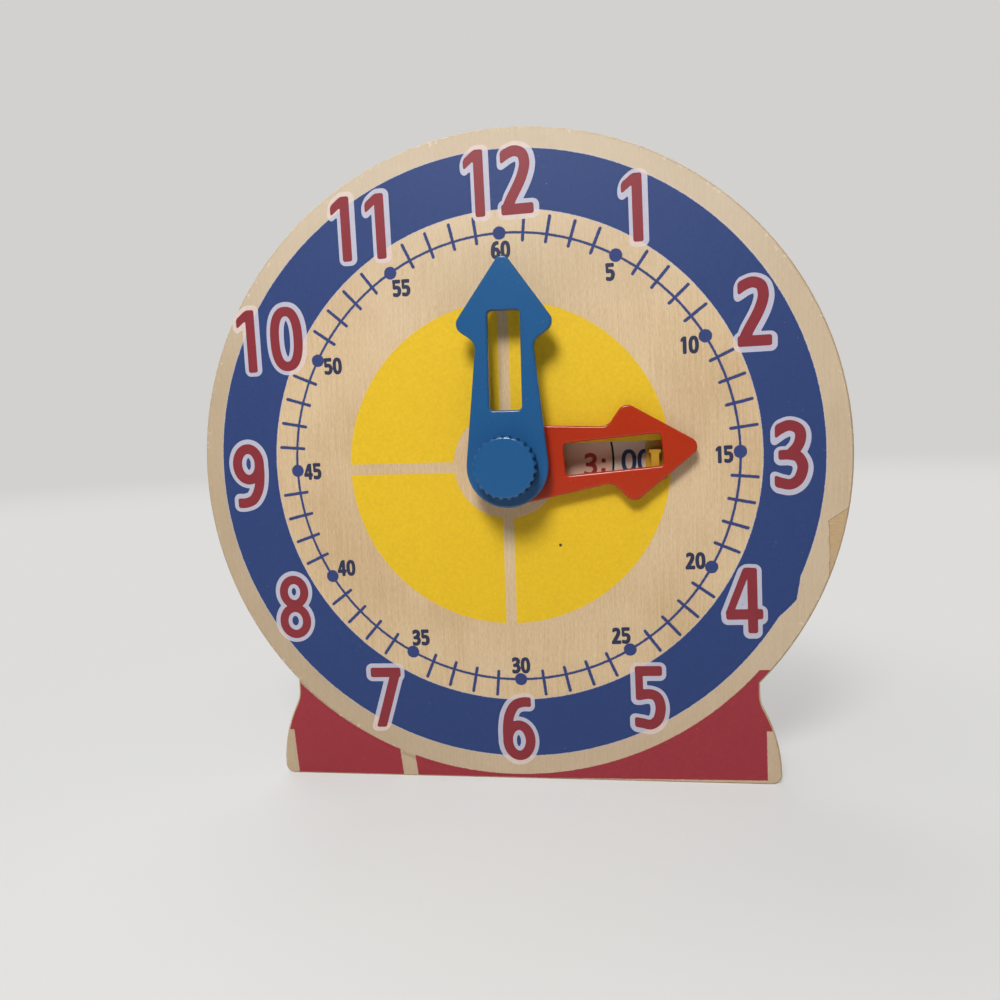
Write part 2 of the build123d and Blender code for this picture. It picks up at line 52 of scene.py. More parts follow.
# a socket that can stand in a plain expression, which then adds the Math nodes
class Value:
    def __init__(self, recipe, socket):
        self.recipe = recipe
        self.socket = socket

    def other(self, name):
        # another output of the same node
        return Value(self.recipe, self.socket.node.outputs[name])

    def __add__(self, term):
        return self.recipe.maths("ADD", self, term)

    def __radd__(self, term):
        return self.recipe.maths("ADD", term, self)

    def __sub__(self, term):
        return self.recipe.maths("SUBTRACT", self, term)

    def __rsub__(self, term):
        return self.recipe.maths("SUBTRACT", term, self)

    def __mul__(self, factor):
        return self.recipe.maths("MULTIPLY", self, factor)

    def __rmul__(self, factor):
        return self.recipe.maths("MULTIPLY", factor, self)

    def __truediv__(self, divisor):
        return self.recipe.maths("DIVIDE", self, divisor)

    def __neg__(self):
        return self.recipe.maths("MULTIPLY", self, -1.0)

    def __abs__(self):
        return self.recipe.maths("ABSOLUTE", self)

    def __mod__(self, period):
        return self.recipe.maths("FLOORED_MODULO", self, period)

    def __pow__(self, power):
        return self.recipe.maths("POWER", self, power)

    def __lt__(self, limit):
        return self.recipe.maths("LESS_THAN", self, limit)


# the nodes of one material, or of the world
class Recipe:
    def __init__(self, owner, output="ShaderNodeOutputMaterial"):
        owner.use_nodes = True
        self.owner = owner
        self.tree = owner.node_tree
        self.tree.nodes.clear()
        self.output = self.tree.nodes.new(output)

    def plug(self, socket, value):
        if isinstance(value, Value):
            self.tree.links.new(value.socket, socket)
        elif isinstance(value, tuple):            # a colour, which the socket wants with its opacity
            socket.default_value = (*value, 1.0)
        else:
            socket.default_value = value

    def node(self, kind, settings=None, inputs=None, out=0):
        # the settings go first, because some of them change the sockets
        made = self.tree.nodes.new(kind)
        for name, value in (settings or {}).items():
            setattr(made, name, value)
        for name, value in (inputs or {}).items():
            self.plug(made.inputs[name], value)
        return Value(self, made.outputs[out])

    def maths(self, operation, *values):
        return self.node("ShaderNodeMath", {"operation": operation}, dict(enumerate(values)))

    def least(self, first, second):
        return self.maths("MINIMUM", first, second)

    def most(self, first, *others):
        for other in others:
            first = self.maths("MAXIMUM", first, other)
        return first

    def soft(self, value, low, high):
        # 0 up to low, 1 from high, smooth between; low may be the larger one
        return self.node("ShaderNodeMapRange", {"interpolation_type": "SMOOTHSTEP"},
                         {0: value, 1: low, 2: high, 3: 0.0, 4: 1.0})

    def blend(self, factor, first, second):
        # two colours, which are sockets 6 and 7 and output 2 of the node
        return self.node("ShaderNodeMix", {"data_type": "RGBA"}, {0: factor, 6: first, 7: second}, out=2)

    def place(self):
        # across, back and up, in millimetres
        coords = self.node("ShaderNodeTexCoord", out="Object")
        split = self.node("ShaderNodeSeparateXYZ", inputs={0: coords})
        return [split.other(axis) * (1 / mm) for axis in "XYZ"]

    def facing(self):
        # -1 where the surface faces front, 1 where it faces back
        normal = self.node("ShaderNodeTexCoord", out="Normal")
        return self.node("ShaderNodeSeparateXYZ", inputs={0: normal}, out="Y")

    def noise(self, x, y, z, scale=1.0, detail=2.0, rough=0.5):
        spot = self.node("ShaderNodeCombineXYZ", inputs={0: x, 1: y, 2: z})
        return self.node("ShaderNodeTexNoise",
                         inputs={"Vector": spot, "Scale": scale, "Detail": detail, "Roughness": rough})

    def bump(self, height, strength, depth):
        return self.node("ShaderNodeBump",
                         inputs={"Strength": strength, "Distance": depth * mm, "Height": height})

    def surface(self, **inputs):
        named = {name.replace("_", " "): value for name, value in inputs.items()}
        return self.node("ShaderNodeBsdfPrincipled", inputs=named)

    def show(self, shader):
        self.tree.links.new(shader.socket, self.output.inputs[0])
        return self.owner

    def finish(self, **inputs):
        return self.show(self.surface(**inputs))


def newMaterial(name):
    return Recipe(bpy.data.materials.new(name))


def linear(red, green, blue):
    # screen colour, 0 to 255, as the shader wants it
    def one(part):
        part /= 255
        return part / 12.92 if part <= 0.04045 else ((part + 0.055) / 1.055) ** 2.4
    return (one(red), one(green), one(blue))


def shaded(colour, share, lift=0.0):
    return tuple(min(part * share + lift, 1) for part in colour)


# numbers, drawn as strokes in a cell of 1 by 1, then printed as thin ink
def oval(across, up, halfWidth, halfHeight, power=2.0, steps=40):
    # closed line; a power above 2 gives it fuller shoulders
    def bow(part):
        return math.copysign(abs(part) ** (2 / power), part)
    turns = [2 * math.pi * step / steps for step in range(steps + 1)]
    return [(across + halfWidth * bow(math.cos(turn)), up + halfHeight * bow(math.sin(turn)))
            for turn in turns]


def bend(*points, steps=8):
    # smooth line through given points
    ends = [points[0], *points, points[-1]]
    line = []
    for a, b, c, d in zip(ends, ends[1:], ends[2:], ends[3:]):
        for step in range(steps):
            t = step / steps
            line.append(tuple(
                0.5 * (2 * q + (r - p) * t + (2 * p - 5 * q + 4 * r - s) * t * t
                       + (3 * q - p - 3 * r + s) * t ** 3)
                for p, q, r, s in zip(a, b, c, d)))
    return line + [points[-1]]


# each stroke: how its two ends are cut (r round, s square across the stroke, v upright, h level),
# how heavy it is, and its line
digitStrokes = {
    "0": [("rr", 0.95, oval(0.5, 0.5, 0.5, 0.507, 2.4))],
    "1": [("rv", 0.78, [(0.67, 0.995), (-0.51, 0.833)]), ("ss", 0.95, [(1.03, 0.99), (1.03, 0.005)])],
    "2": [("vr", 1.0, bend((-0.19, 0.89), (0.11, 0.957), (0.46, 0.995), (0.79, 0.94), (0.9, 0.8),
                           (0.84, 0.65), (0.64, 0.46), (0.24, 0.186), (0.02, 0.02))),
          ("ss", 1.0, [(0.0, 0.0), (1.0, 0.0)])],
    "3": [("vr", 1.0, bend((-0.2, 0.899), (0.06, 0.964), (0.43, 1.011), (0.8, 0.954), (0.92, 0.833),
                           (0.81, 0.662), (0.467, 0.51))),
          ("vr", 0.92, [(-0.06, 0.505), (0.47, 0.505)]),
          ("rv", 1.0, bend((0.467, 0.505), (0.81, 0.455), (0.993, 0.288), (0.82, 0.08), (0.467, -0.01),
                           (0.06, 0.015), (-0.243, 0.058)))],
    "4": [("hr", 0.72, [(0.64, 1.094), (-0.07, 0.277)]), ("ss", 1.0, [(0.0, 0.25), (1.0, 0.25)]),
          ("ss", 0.92, [(0.811, 1.0), (0.811, -0.01)]), ("rr", 0.72, [(0.66, 1.022), (0.811, 1.022)])],
    "5": [("ss", 1.0, [(0.08, 1.01), (0.87, 1.01)]), ("sh", 0.74, [(0.02, 1.01), (0.02, 0.465)]),
          ("rv", 1.0, bend((0.086, 0.565), (0.52, 0.578), (0.862, 0.51), (0.993, 0.323), (0.862, 0.106),
                           (0.52, 0.005), (0.125, 0.031), (-0.243, 0.056)))],
    "6": [("rr", 1.0, oval(0.5, 0.275, 0.51, 0.293)),
          ("rv", 1.0, bend((0.0, 0.272), (0.0, 0.5), (0.1, 0.752), (0.355, 0.944), (0.717, 1.011),
                           (1.1, 1.011)))],
    "7": [("ss", 1.0, [(0.0, 0.992), (1.0, 0.992)]), ("rh", 1.0, [(0.97, 0.973), (0.15, -0.081)])],
    "8": [("rr", 0.88, oval(0.529, 0.806, 0.463, 0.238)), ("rr", 0.88, oval(0.512, 0.24, 0.515, 0.257))],
    ":": [("ss", 1.0, [(0.5, 0.73), (0.5, 0.73)]), ("ss", 1.0, [(0.5, 0.23), (0.5, 0.23)])],
}
# a nine is a six turned half round
digitStrokes["9"] = [(caps, weight, [(1 - u, 1 - v) for u, v in line])
                     for caps, weight, line in digitStrokes["6"]]
farOff = 1e9                                 # further than any stroke
pointsAcrossStroke = 11                      # how finely the outlines are followed


def boxDistance(grid, middle, along, halfLength, halfWidth):
    # how far each grid point lies from a rectangle, negative inside it
    offset = grid - middle
    outward = np.stack([np.abs(offset @ along) - halfLength,
                        np.abs(offset @ np.array([-along[1], along[0]])) - halfWidth], -1)
    return np.hypot(*np.moveaxis(np.maximum(outward, 0), -1, 0)) + np.minimum(outward.max(-1), 0)


def strokeDistance(grid, caps, line, halfWidth, radius):
    # how far each grid point lies from one stroke, negative inside it
    points = np.array(line, float)
    ends = [(cap, points[at].copy(), points[at] - points[before])
            for cap, at, before in ((caps[0], 0, 1), (caps[1], -1, -2))]
    for (cap, end, away), at in zip(ends, (0, -1)):
        if cap in "vh":                           # run past the cut, which then trims it
            points[at] = end + away / np.hypot(*away) * halfWidth * 2
    best = np.full(grid.shape[:-1], farOff)
    for a, b in zip(points[:-1], points[1:]):
        span = b - a
        share = np.clip(((grid - a) @ span) / max(span @ span, 1e-12), 0, 1)    # a dot has no length
        best = np.minimum(best, np.hypot(*np.moveaxis(grid - a - share[..., None] * span, -1, 0)))
    best -= halfWidth
    for cap, end, away in ends:
        if cap == "s":
            away = away / np.hypot(*away) if np.hypot(*away) > 0 else np.array([0.0, 1.0])
            best = np.minimum(best, boxDistance(grid, end, away, halfWidth, halfWidth))
        elif cap in "vh":
            axis = "vh".index(cap)
            past = (grid[..., axis] - end[axis]) * np.sign(away[axis]) + radius
            cornered = np.hypot(np.maximum(best, 0), np.maximum(past, 0))
            best = cornered + np.minimum(np.maximum(best, past), 0)
    return best


def outlineLoops(field, level, corner, step):
    # closed lines where the field passes the level, by marching squares
    inside = field < level
    links = {}

    def crossing(i, j, k, m):
        share = (level - field[i, j]) / (field[k, m] - field[i, j])
        return (corner[0] + step * (j + share * (m - j)), corner[1] + step * (i + share * (k - i)))

    for i in range(field.shape[0] - 1):
        for j in range(field.shape[1] - 1):
            cell = [(i, j), (i, j + 1), (i + 1, j + 1), (i + 1, j)]
            flags = [inside[c] for c in cell]
            if all(flags) or not any(flags):
                continue
            for side in range(4):
                if not flags[side] and flags[(side + 1) % 4]:
                    walk = side                   # enter here, leave at the next way out
                    while not (flags[walk] and not flags[(walk + 1) % 4]):
                        walk = (walk + 1) % 4
                    pairs = [frozenset((cell[s], cell[(s + 1) % 4])) for s in (side, walk)]
                    links[pairs[0]] = pairs[1]
    loops = []
    while links:
        first, following = links.popitem()
        loop = [first]
        while following != first:
            loop.append(following)
            following = links.pop(following)
        loops.append([crossing(*a, *b) for a, b in (sorted(pair) for pair in loop)])
    return loops


def numberLoops(text, style, spread=0.0):
    # outline of a whole number, centred on 0, 0
    radius = style["corner"]
    half = style["stroke"] / 2
    widths = [style["width"] * style["narrow"].get(digit, 1.0) for digit in text]
    gaps = [style["gap"] + (style["afterOne"] if digit == "1" else 0.0) for digit in text[:-1]]
    gaps.append(0.0)
    total = sum(widths) + sum(gaps)
    margin = spread + style["stroke"]
    step = style["stroke"] / pointsAcrossStroke
    across = np.arange(-margin, total + margin, step)
    up = np.arange(-margin, style["height"] + margin, step)
    grid = np.stack(np.meshgrid(across, up), -1)
    field = np.full(grid.shape[:-1], farOff)
    left = 0.0
    for digit, width, gap in zip(text, widths, gaps):
        scale = np.array([width - 2 * half, style["height"] - 2 * half])
        for caps, weight, line in digitStrokes[digit]:
            centreline = np.array(line) * scale + (half + left, half)
            distance = strokeDistance(grid, caps, centreline, half * weight - radius, radius)
            field = np.minimum(field, distance)
        left += width + gap
    corner = (across[0] - total / 2, up[0] - style["height"] / 2)
    return outlineLoops(field, radius + spread, corner, step)


def placed(loops, across, up, turn=0.0):
    # turned counter-clockwise about 0, 0 and then moved
    c, s = math.cos(math.radians(turn)), math.sin(math.radians(turn))
    return [[(across + x * c - y * s, up + x * s + y * c) for x, y in loop] for loop in loops]


def filledShape(loops, thickness):
    # one number as a thin flat mesh
    curve = bpy.data.curves.new("number", "CURVE")
    curve.dimensions = "2D"
    curve.fill_mode = "BOTH"
    curve.extrude = thickness * mm / 2
    for loop in loops:
        spline = curve.splines.new("POLY")
        spline.points.add(len(loop) - 1)
        for point, (x, y) in zip(spline.points, loop):
            point.co = (x * mm, y * mm, 0, 1)
        spline.use_cyclic_u = True
    flat = bpy.data.objects.new("number", curve)
    bpy.context.scene.collection.objects.link(flat)
    mesh = bpy.data.meshes.new_from_object(flat)
    bpy.data.objects.remove(flat)
    bpy.data.curves.remove(curve)
    return mesh


def printInk(name, numbers, depthY, thickness, material, body):
    # flat ink with a real thickness, on a surface that faces front
    whole = bmesh.new()
    for loops in numbers:
        mesh = filledShape(loops, thickness)
        whole.from_mesh(mesh)
        bpy.data.meshes.remove(mesh)
    upright = Matrix.Rotation(math.pi / 2, 4, "X")
    whole.transform(Matrix.Translation((0, (depthY - thickness / 2) * mm, 0)) @ upright)
    mesh = bpy.data.meshes.new(name)
    whole.to_mesh(mesh)
    whole.free()
    mesh.materials.append(material)
    layer = bpy.data.objects.new(name, mesh)
    bpy.context.scene.collection.objects.link(layer)
    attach(layer, body)


# bare birch, and the layers at the edge of the sheet
woodLook = {
    "pale": linear(221, 195, 157), "dark": linear(194, 161, 118), "fleck": linear(168, 134, 96),
    "streak": 1.5, "fibre": 4.0, "flecks": 0.4, "plyThickness": 1.3,
    "endPale": linear(205, 175, 132), "endDark": linear(150, 112, 72), "glue": linear(96, 66, 40),
    "roughness": 0.66, "bump": 0.12, "bumpDepth": 0.15,
}


def birchGrain(recipe, x, y, z):
    # bare birch with its fibres upright: its colour, and the height of those fibres
    wander = recipe.noise(x * 0.02, y * 0.02, z * 0.012, detail=1.0) * 6
    streaks = recipe.noise(x * woodLook["streak"] + wander, y, z * 0.05, detail=3.0, rough=0.6)
    fibres = recipe.noise(x * woodLook["fibre"], y * 2, z * 0.45, rough=0.6)
    clouds = recipe.noise(x, y, z, scale=0.03)
    pores = recipe.noise(x * 3.2, y, z * 1.5, detail=1.0)
    depth = recipe.soft(streaks * 0.32 + fibres * 0.42 + clouds * 0.3, 0.36, 0.72)
    bare = recipe.blend(depth, woodLook["pale"], woodLook["dark"])
    bare = recipe.blend(recipe.soft(pores, 0.62, 0.74) * woodLook["flecks"], bare, woodLook["fleck"])
    return bare, fibres


def plyEdge(recipe, x, y, z, facing, faceColour):
    # the sheet's layers, seen where the surface faces neither front nor back
    turn = ((y - faceY) / woodLook["plyThickness"]) % 2.0
    middle = abs(turn - 1.0)                      # from 0 in one layer to 1 in the next
    pores = recipe.noise(x * 3, y * 3, z * 3)
    darkness = recipe.soft(middle, 0.46, 0.54) * (0.55 + pores * 0.4)
    shade = recipe.blend(darkness, woodLook["endPale"], woodLook["endDark"])
    glue = recipe.soft(abs(middle - 0.5), 0.09, 0.03)
    shade = recipe.blend(glue * 0.5, shade, woodLook["glue"])
    return recipe.blend(recipe.soft(abs(facing), 0.75, 0.6), faceColour, shade)


# the printed dial, measured in the print's own axes; the shader's inks and the numbers share this
dial = {
    "across": -0.55, "up": 1.15, "turn": 0.7,            # where the print lies on the board
    "ringOuter": 109.4, "ringOuterAt": (-0.47, -0.30), "ringInner": 88.4, "ringInnerAt": (-0.22, 0.19),
    "underprint": 0.22, "bulge": 2.3, "bulgeAt": 2.063, "bulgeWidth": 0.075,   # the last two in radians
    "minuteCircle": 80.5, "circleWidth": 0.9, "dot": 2.3,
    "tickFrom": 77.9, "tickTo": 86.7, "tickWidth": 1.15,
    "discRadius": 58.3, "discAt": (-1.4, -1.1), "hubRadius": 19.6, "hubAt": (-1.2, -0.9),
    "stripWidth": 3.9, "stripUpAt": -1.28, "stripAcrossAt": -1.72, "stripLean": 0.0194,
    "footCircle": 116.8, "footAt": (-2.0, 0.0), "footTop": -77.6, "footBottom": -118.2,
    "footStep": -100.0, "footLeft": -89.6, "footRight": 87.3, "footLean": 0.056,
    "gapAt": (-44.8, -108.4), "gapWidth": 5.6, "gapLean": -0.0875,
    "edgeBlur": 0.12, "ragged": 0.35, "mottle": 0.34, "blotches": 2.4, "grain": 0.8,
    "whiteCover": 0.7, "printShine": 0.1,
}
ink = {
    "blue": linear(36, 60, 114), "darkBlue": linear(42, 60, 116), "red": linear(137, 48, 55),
    "footRed": linear(153, 46, 58), "yellow": linear(228, 186, 27), "white": linear(186, 186, 204),
    "cream": linear(219, 200, 191), "smallNumbers": linear(46, 51, 79), "stain": linear(196, 170, 150),
    "roughness": 0.5, "redRoughness": 0.45,
}
dialWear = {
    "topSheen": linear(220, 207, 186), "sheenFrom": 30.0, "sheenTo": 105.0, "blendShare": 0.4,
    "outside": linear(190, 176, 158), "outsideFrom": 108.0, "outsideTo": 110.0, "outsideTint": 0.45,
    # darker towards the left outside the ring; the same darkening colour paints the shade at the rim
    "darkening": linear(150, 128, 100), "sideFrom": 40.0, "sideTo": 100.0, "leftDarkening": 0.28,
    # painted shade in a ragged band along the very rim of the front
    "rimFrom": 116.4, "rimTo": 117.4, "rimRagged": 2.2, "rimShade": 0.45, "end": 118.0,
    "rubbed": linear(236, 224, 198), "rubFrom": 117.0, "rubTo": 118.6, "rubRagged": 14.0, "rub": 0.45,
    "patchFrom": 0.57, "patchTo": 0.6, "wornFrom": 0.71, "wornTo": 0.76, "worn": 0.5,
    "chipPale": linear(206, 178, 140), "chipDark": linear(176, 144, 104), "chipLine": linear(120, 94, 66),
    "chipEdge": 109.4, "chipTop": -24.9, "chipSlope": 0.64, "chipRagged": 1.2, "chipBorder": 0.7,
    "speck": linear(52, 40, 26), "speckAt": (16.8, -30.9), "speckRadius": 0.55,
}


def printAxes(x, z):
    # across and up in the print's own axes
    turn = math.radians(dial["turn"])
    dx = x - (shaft.x + dial["across"])
    dz = z - (shaft.y + dial["up"])
    return dx * math.cos(turn) + dz * math.sin(turn), dz * math.cos(turn) - dx * math.sin(turn)


def farFrom(px, py, at=(0.0, 0.0)):
    ax = px - at[0]
    ay = py - at[1]
    return (ax * ax + ay * ay) ** 0.5


def dialMaterial():
    recipe = newMaterial("printedBirchPly")
    x, y, z = recipe.place()
    bare, fibres = birchGrain(recipe, x, y, z)
    facing = recipe.facing()
    front = recipe.soft(facing, -0.75, -0.9)
    px, py = printAxes(x, z)
    reach = farFrom(px, py)
    angle = recipe.maths("ARCTAN2", px, py)                # clockwise from twelve o'clock
    ragged = (recipe.noise(px, y, py, scale=1.6) - 0.5) * dial["ragged"]
    blur = dial["edgeBlur"]

    def within(distance):
        # 1 where the distance is negative, with a soft and slightly ragged edge
        return recipe.soft(distance + ragged, blur, -blur)

    # blue ring on a white one that is a little wider both ways
    bulge = recipe.most(1 - abs(angle - dial["bulgeAt"]) / dial["bulgeWidth"], 0.0) * dial["bulge"]
    outer = farFrom(px, py, dial["ringOuterAt"]) - bulge
    inner = farFrom(px, py, dial["ringInnerAt"])
    spread = dial["underprint"]
    under = within(outer - (dial["ringOuter"] + spread)) * within((dial["ringInner"] - spread) - inner)
    ring = within(outer - dial["ringOuter"]) * within(dial["ringInner"] - inner)

    # minute circle, with a dot at each hour and a tick at every other minute
    minute = math.radians(6)
    sweep = (angle + minute / 2) % minute - minute / 2
    along = reach * recipe.maths("COSINE", sweep)
    aside = reach * recipe.maths("SINE", sweep)
    beyond = recipe.most(along - dial["tickTo"], dial["tickFrom"] - along, 0.0)
    tick = within((beyond * beyond + aside * aside) ** 0.5 - dial["tickWidth"] / 2)
    hour = math.radians(30)
    onHour = ((angle + minute / 2) % hour) < minute
    hourSweep = (angle + hour / 2) % hour - hour / 2
    outward = reach * recipe.maths("COSINE", hourSweep) - dial["minuteCircle"]
    sideways = reach * recipe.maths("SINE", hourSweep)
    dot = within((outward * outward + sideways * sideways) ** 0.5 - dial["dot"])
    circle = within(abs(reach - dial["minuteCircle"]) - dial["circleWidth"] / 2)
    lines = recipe.most(tick * (1 - onHour), dot, circle)

    # yellow disc with its bare cross and middle
    upright = abs(px - dial["stripUpAt"] - py * dial["stripLean"]) - dial["stripWidth"] / 2
    level = abs(py - dial["stripAcrossAt"] + px * dial["stripLean"]) - dial["stripWidth"] / 2
    disc = within(farFrom(px, py, dial["discAt"]) - dial["discRadius"])
    disc = disc * within(dial["hubRadius"] - farFrom(px, py, dial["hubAt"]))
    disc = disc * (1 - within(recipe.least(upright, level)))

    # red foot, with a bare band round the dial, bare sides low down and a leaning gap
    low = recipe.soft(py, dial["footStep"] + blur, dial["footStep"] - blur)
    leftEdge = dial["footLeft"] + (dial["footStep"] - py) * dial["footLean"]
    sides = within(leftEdge - px) * within(px - dial["footRight"])
    gap = abs(px - dial["gapAt"][0] - (py - dial["gapAt"][1]) * dial["gapLean"]) - dial["gapWidth"] / 2
    foot = within(dial["footCircle"] - farFrom(px, py, dial["footAt"])) * (py < dial["footTop"])
    foot = foot * (1 - low * (1 - sides)) * (1 - within(gap)) * within(dial["footBottom"] - py)

    # a chip in the veneer at the right-hand rim bares the layer below, whose grain lies level
    crossGrain = recipe.noise(x * 0.35, y, z * 2.4, detail=3.0, rough=0.6)
    chipWander = (recipe.noise(px, y, py, scale=0.35) - 0.5) * dialWear["chipRagged"]
    chipSide = dialWear["chipEdge"] - px + chipWander
    chipTop = py - dialWear["chipTop"] - (px - dialWear["chipEdge"]) * dialWear["chipSlope"]
    chipDistance = recipe.most(chipSide, chipTop)
    chip = within(chipDistance)
    chipColour = recipe.blend(crossGrain, dialWear["chipPale"], dialWear["chipDark"])
    chipBorder = recipe.soft(abs(chipDistance), 0.35, 0.1) * dialWear["chipBorder"]
    chipColour = recipe.blend(chipBorder, chipColour, dialWear["chipLine"])

    # painted sheen makes the wood paler towards the top; on the front it is greyer outside the ring,
    # darker there on the left, darker at the very rim with painted shade, and rubbed pale in places
    fromShaft = ((x - shaft.x) ** 2.0 + (z - shaft.y) ** 2.0) ** 0.5
    rimWear = recipe.noise(px, y, py, scale=0.45, detail=4.0, rough=0.7)
    onRim = recipe.soft(fromShaft, dialWear["rubTo"], dialWear["end"])
    # painted shade: a dark ragged band along the very rim of the front
    shadeReach = fromShaft + (rimWear - 0.5) * dialWear["rimRagged"]
    rimShade = recipe.soft(shadeReach, dialWear["rimFrom"], dialWear["rimTo"])
    rubReach = fromShaft + (rimWear - 0.5) * dialWear["rubRagged"]
    splinters = recipe.soft(rubReach, dialWear["rubFrom"], dialWear["rubTo"])
    splinters = splinters * recipe.soft(rimWear, dialWear["patchFrom"], dialWear["patchTo"])
    outside = recipe.soft(reach, dialWear["outsideFrom"], dialWear["outsideTo"]) * front
    leftward = recipe.soft(-px - py * 0.4, dialWear["sideFrom"], dialWear["sideTo"])
    # painted sheen: the bare wood is lighter towards the top
    topSheen = recipe.soft(py, dialWear["sheenFrom"], dialWear["sheenTo"])
    bare = recipe.blend(topSheen * dialWear["blendShare"], bare, dialWear["topSheen"])
    bare = recipe.blend(outside * dialWear["outsideTint"], bare, dialWear["outside"])
    # darker towards the left, outside the ring
    bare = recipe.blend(outside * leftward * dialWear["leftDarkening"], bare, dialWear["darkening"])
    bare = recipe.blend(rimShade * onRim * front * dialWear["rimShade"], bare, dialWear["darkening"])
    bare = recipe.blend(splinters * onRim * dialWear["rub"], bare, dialWear["rubbed"])

    # the grain shows through thin ink, and wear leaves pale specks in it
    thin = 0.985 + (fibres - 0.5) * 0.03
    specks = recipe.noise(px, y, py, scale=0.9, detail=4.0, rough=0.7)
    worn = recipe.soft(specks, dialWear["wornFrom"], dialWear["wornTo"])
    cover = thin * (1 - worn * dialWear["worn"])
    blotches = recipe.noise(px, y, py, scale=0.9, detail=3.0, rough=0.7)
    mottle = (blotches - 0.5) * dial["blotches"] + (fibres - 0.5) * dial["grain"]
    layers = ((under, ink["white"], dial["whiteCover"]), (ring, ink["blue"], cover),
              (disc, ink["yellow"], thin), (lines, ink["darkBlue"], cover), (foot, ink["footRed"], cover))
    colour = bare
    for mask, shade, strength in layers:
        mottled = recipe.blend(mottle * dial["mottle"] + 0.5, shaded(shade, 0.8), shaded(shade, 1.22))
        colour = recipe.blend(mask * strength, colour, mottled)
    colour = recipe.blend(chip, colour, chipColour)
    darkSpeck = within(farFrom(px, py, dialWear["speckAt"]) - dialWear["speckRadius"])
    colour = recipe.blend(darkSpeck, colour, dialWear["speck"])
    colour = recipe.blend(front, bare, colour)
    printed = recipe.most(ring, disc, foot)
    rough = woodLook["roughness"] - printed * front * dial["printShine"] + (fibres - 0.5) * 0.1
    return recipe.finish(Base_Color=plyEdge(recipe, x, y, z, facing, colour), Roughness=rough,
                         Specular_IOR_Level=dullShine,
                         Normal=recipe.bump(fibres, woodLook["bump"], woodLook["bumpDepth"]))


def printedInk(name, colour, roughness):
    # ink that lies on wood or film: it is a little uneven
    recipe = newMaterial(name)
    x, y, z = recipe.place()
    fibres = recipe.noise(x * woodLook["fibre"], y, z * 0.5, rough=0.6)
    clouds = recipe.noise(x, y, z, scale=0.3)
    uneven = recipe.soft(fibres * 0.6 + clouds * 0.4, 0.35, 0.7)
    shade = recipe.blend(uneven * 0.22, colour, shaded(colour, 0.72))
    return recipe.finish(Base_Color=shade, Roughness=roughness, Specular_IOR_Level=dullShine,
                         Normal=recipe.bump(fibres, strength=0.08, depth=0.1))


def outlineInk():
    # the white below the numbers is thin, so it looks creamy where it lies on bare wood
    recipe = newMaterial("whiteOutlineInk")
    x, y, z = recipe.place()
    px, py = printAxes(x, z)
    blur = 0.3
    onRing = recipe.soft(farFrom(px, py, dial["ringOuterAt"]), dial["ringOuter"] + blur,
                         dial["ringOuter"] - blur)
    onRing = onRing * recipe.soft(farFrom(px, py, dial["ringInnerAt"]), dial["ringInner"] - blur,
                                  dial["ringInner"] + blur)
    shade = recipe.blend(onRing, ink["cream"], ink["white"])
    cloud = recipe.noise(px, y, py, scale=0.8, detail=3.0, rough=0.7)
    shade = recipe.blend(recipe.soft(cloud, 0.35, 0.75) * 0.3, shade, ink["stain"])
    return recipe.finish(Base_Color=shade, Roughness=ink["roughness"], Specular_IOR_Level=dullShine)


# numbers on the dial: how each set is drawn, and where each number's middle lies in the print
hourStyle = {
    "height": 23.5, "width": 12.0, "stroke": 3.7, "corner": 0.8, "gap": 5.7, "afterOne": 0.0,
    "narrow": {"0": 1.06, "1": 0.6, "2": 0.955, "3": 0.945, "4": 1.06, "5": 0.94, "7": 0.975, "8": 1.04,
               "9": 1.02},
}
minuteStyle = {
    "height": 6.15, "width": 3.4, "stroke": 1.38, "corner": 0.35, "gap": 0.0, "afterOne": 0.6,
    "narrow": {"0": 1.06, "1": 0.66},
}
hourPlaces = {
    "12": (0.45, 98.1), "1": (46.35, 85.2), "2": (86.1, 47.45), "3": (97.35, -1.9), "4": (80.6, -52.5),
    "5": (46.65, -87.8), "6": (-1.75, -99.4), "7": (-51.55, -87.4), "8": (-85.8, -52.15),
    "9": (-99.9, -1.2), "10": (-87.7, 48.9), "11": (-51.2, 86.5),
}
minutePlaces = {
    "60": (0.25, 74.7), "5": (38.1, 64.1), "10": (64.3, 37.5), "15": (75.0, -0.8), "20": (64.2, -37.9),
    "25": (37.2, -64.6), "30": (0.2, -75.3), "35": (-37.05, -64.4), "40": (-64.1, -37.3),
    "45": (-74.7, -0.5), "50": (-64.1, 37.9), "55": (-36.5, 64.1),
}
numberPrint = {
    "outline": 1.58, "outlineTurn": -0.16, "outlineShift": (0.1, -0.1),
    "whiteThickness": 0.02, "inkThickness": 0.035,
}


def onBoard(loops, extraTurn=0.0):
    # from the print's own axes to the board's
    return placed(loops, shaft.x + dial["across"], shaft.y + dial["up"], dial["turn"] + extraTurn)


def printDialNumbers(white, red, blue):
    outlines = []
    hours = []
    shiftAcross, shiftUp = numberPrint["outlineShift"]
    for text, (across, up) in hourPlaces.items():
        outline = numberLoops(text, hourStyle, numberPrint["outline"])
        outline = placed(outline, across + shiftAcross, up + shiftUp)
        outlines.append(onBoard(outline, numberPrint["outlineTurn"]))
        hours.append(onBoard(placed(numberLoops(text, hourStyle), across, up)))
    minutes = [onBoard(placed(numberLoops(text, minuteStyle), across, up))
               for text, (across, up) in minutePlaces.items()]
    thin = numberPrint["whiteThickness"]
    printInk("hourNumberOutlines", outlines, faceY, thin, white, "clock_body")
    printInk("hourNumbers", hours, faceY, numberPrint["inkThickness"], red, "clock_body")
    printInk("minuteNumbers", minutes, faceY, thin, blue, "clock_body")


